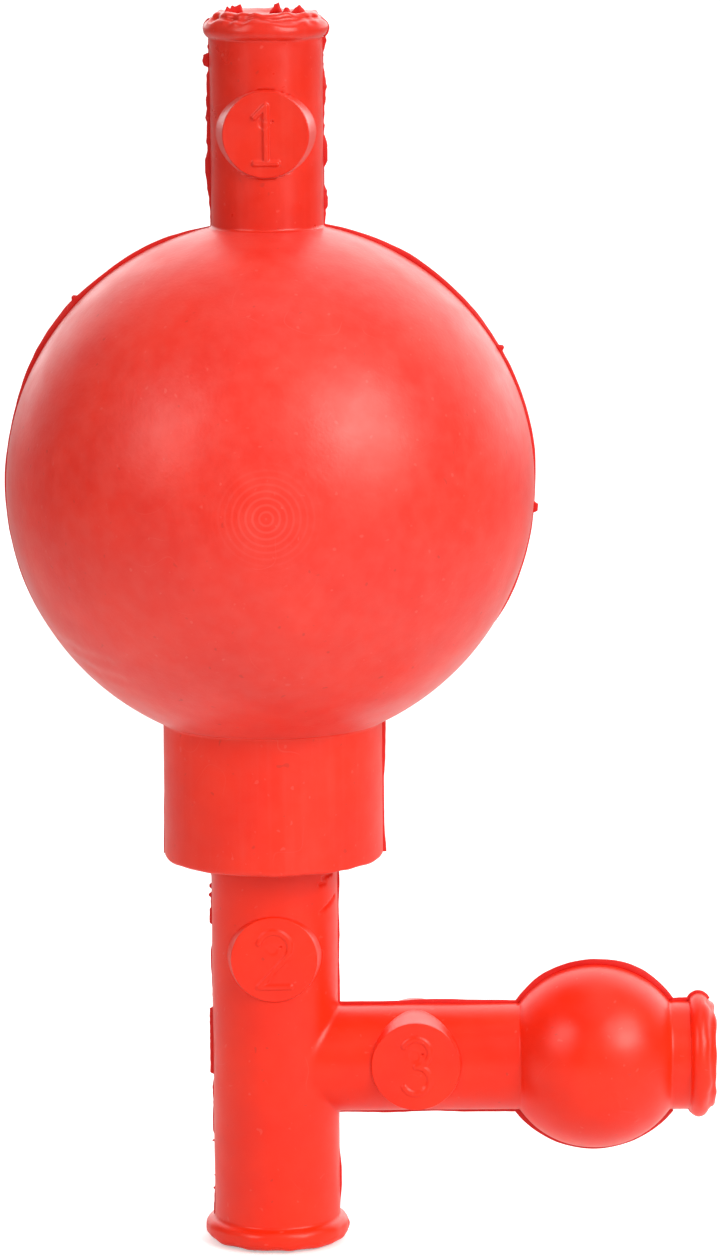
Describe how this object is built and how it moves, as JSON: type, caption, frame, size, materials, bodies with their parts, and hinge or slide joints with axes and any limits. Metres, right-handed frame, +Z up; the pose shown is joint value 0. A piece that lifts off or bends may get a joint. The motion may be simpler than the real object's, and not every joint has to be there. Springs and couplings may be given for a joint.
{
  "type": "siphon bulb pump",
  "caption": "Red rubber bulb with a tube above, a collared tube below and a side arm with a small bulb; pinch valves draw, release and blow out liquid in a pipette.",
  "frame": {"origin": "centre of the lower mouth's end face, where a pipette is pushed in", "axes": "+Z up the main axis to the air mouth, +X along the side arm, -Y to the front, towards the numbered pads that the viewer sees"},
  "size_m": [0.0806, 0.06, 0.141],
  "materials": {
    "red_rubber": "satin moulded natural rubber with a light dusty bloom",
    "rubber_cement": "dried rubber cement, slightly glossy",
    "ball_steel": "polished bearing ball"
  },
  "bodies": {
    "pump_body": {"main_bulb": "red_rubber", "tee_piece": "red_rubber", "cement_film": "rubber_cement", "air_valve_ball": "ball_steel", "siphon_valve_ball": "ball_steel", "exhaust_valve_ball": "ball_steel"},
    "bulb_front_wall": {"bulb_front_wall": "red_rubber"},
    "bulb_back_wall": {"bulb_back_wall": "red_rubber"},
    "exhaust_front_wall": {"exhaust_front_wall": "red_rubber"},
    "exhaust_back_wall": {"exhaust_back_wall": "red_rubber"},
    "air_pad_front": {"air_pad_front": "red_rubber"},
    "air_pad_back": {"air_pad_back": "red_rubber"},
    "siphon_pad_front": {"siphon_pad_front": "red_rubber"},
    "siphon_pad_back": {"siphon_pad_back": "red_rubber"},
    "exhaust_pad_front": {"exhaust_pad_front": "red_rubber"},
    "exhaust_pad_back": {"exhaust_pad_back": "red_rubber"}
  },
  "joints": [
    {"name": "bulb_squeeze", "type": "slide", "parent": "pump_body", "child": "bulb_front_wall", "axis": [0, 1, 0], "range_m": [0, 0.012]},
    {"name": "bulb_squeeze_back", "type": "slide", "parent": "pump_body", "child": "bulb_back_wall", "axis": [0, -1, 0], "range_m": [0, 0.012]},
    {"name": "exhaust_bulb_squeeze", "type": "slide", "parent": "pump_body", "child": "exhaust_front_wall", "axis": [0, 1, 0], "range_m": [0, 0.003]},
    {"name": "exhaust_bulb_squeeze_back", "type": "slide", "parent": "pump_body", "child": "exhaust_back_wall", "axis": [0, -1, 0], "range_m": [0, 0.003]},
    {"name": "air_valve_pinch", "type": "slide", "parent": "pump_body", "child": "air_pad_front", "axis": [0, 1, 0], "range_m": [0, 0.001]},
    {"name": "air_valve_pinch_back", "type": "slide", "parent": "pump_body", "child": "air_pad_back", "axis": [0, -1, 0], "range_m": [0, 0.001]},
    {"name": "siphon_valve_pinch", "type": "slide", "parent": "pump_body", "child": "siphon_pad_front", "axis": [0, 1, 0], "range_m": [0, 0.001]},
    {"name": "siphon_valve_pinch_back", "type": "slide", "parent": "pump_body", "child": "siphon_pad_back", "axis": [0, -1, 0], "range_m": [0, 0.001]},
    {"name": "exhaust_valve_pinch", "type": "slide", "parent": "pump_body", "child": "exhaust_pad_front", "axis": [0, 1, 0], "range_m": [0, 0.001]},
    {"name": "exhaust_valve_pinch_back", "type": "slide", "parent": "pump_body", "child": "exhaust_pad_back", "axis": [0, -1, 0], "range_m": [0, 0.001]}
  ],
  "couplings": [
    {"joint": "bulb_squeeze_back", "follows": "bulb_squeeze", "ratio": 1},
    {"joint": "exhaust_bulb_squeeze_back", "follows": "exhaust_bulb_squeeze", "ratio": 1},
    {"joint": "air_valve_pinch_back", "follows": "air_valve_pinch", "ratio": 1},
    {"joint": "siphon_valve_pinch_back", "follows": "siphon_valve_pinch", "ratio": 1},
    {"joint": "exhaust_valve_pinch_back", "follows": "exhaust_valve_pinch", "ratio": 1}
  ]
}
